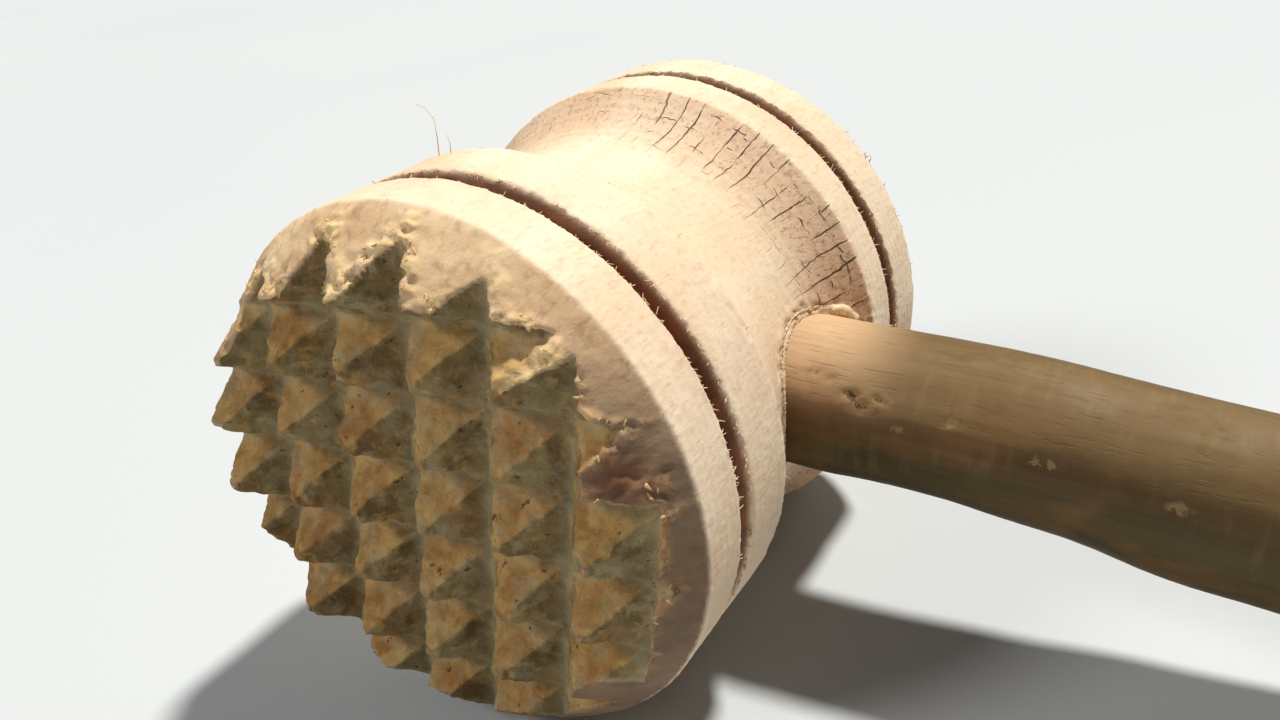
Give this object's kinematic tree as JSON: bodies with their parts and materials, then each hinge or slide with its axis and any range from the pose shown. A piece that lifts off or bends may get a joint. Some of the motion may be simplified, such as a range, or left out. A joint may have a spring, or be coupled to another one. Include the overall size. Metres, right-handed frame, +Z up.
{
  "type": "meat mallet",
  "caption": "Turned wooden mallet with pyramid-toothed faces on a waisted head and a rounded handle, for beating meat flat and tender",
  "frame": {"origin": "middle of the mallet's own bounding box: half way along the whole length, half way between the two toothed faces, level with the head's axis", "axes": "+X is the direction the handle leaves the head, Y is the head's turning axis with the front toothed face looking along -Y, Z is up"},
  "size_m": [0.277, 0.0768, 0.064],
  "materials": {
    "head_wood": "raw turned pale hardwood, fuzzy end grain, stained teeth",
    "handle_wood": "smooth, darkened by handling",
    "wedge_wood": "sawn hardwood",
    "joint_glue": "dried wood glue",
    "bead_glue": "dried squeezed-out wood glue"
  },
  "bodies": {
    "root": {"head": "head_wood", "handle": "handle_wood", "tenon_wedge": "wedge_wood", "glue_film": "joint_glue", "glue_bead": "bead_glue"}
  },
  "joints": []
}
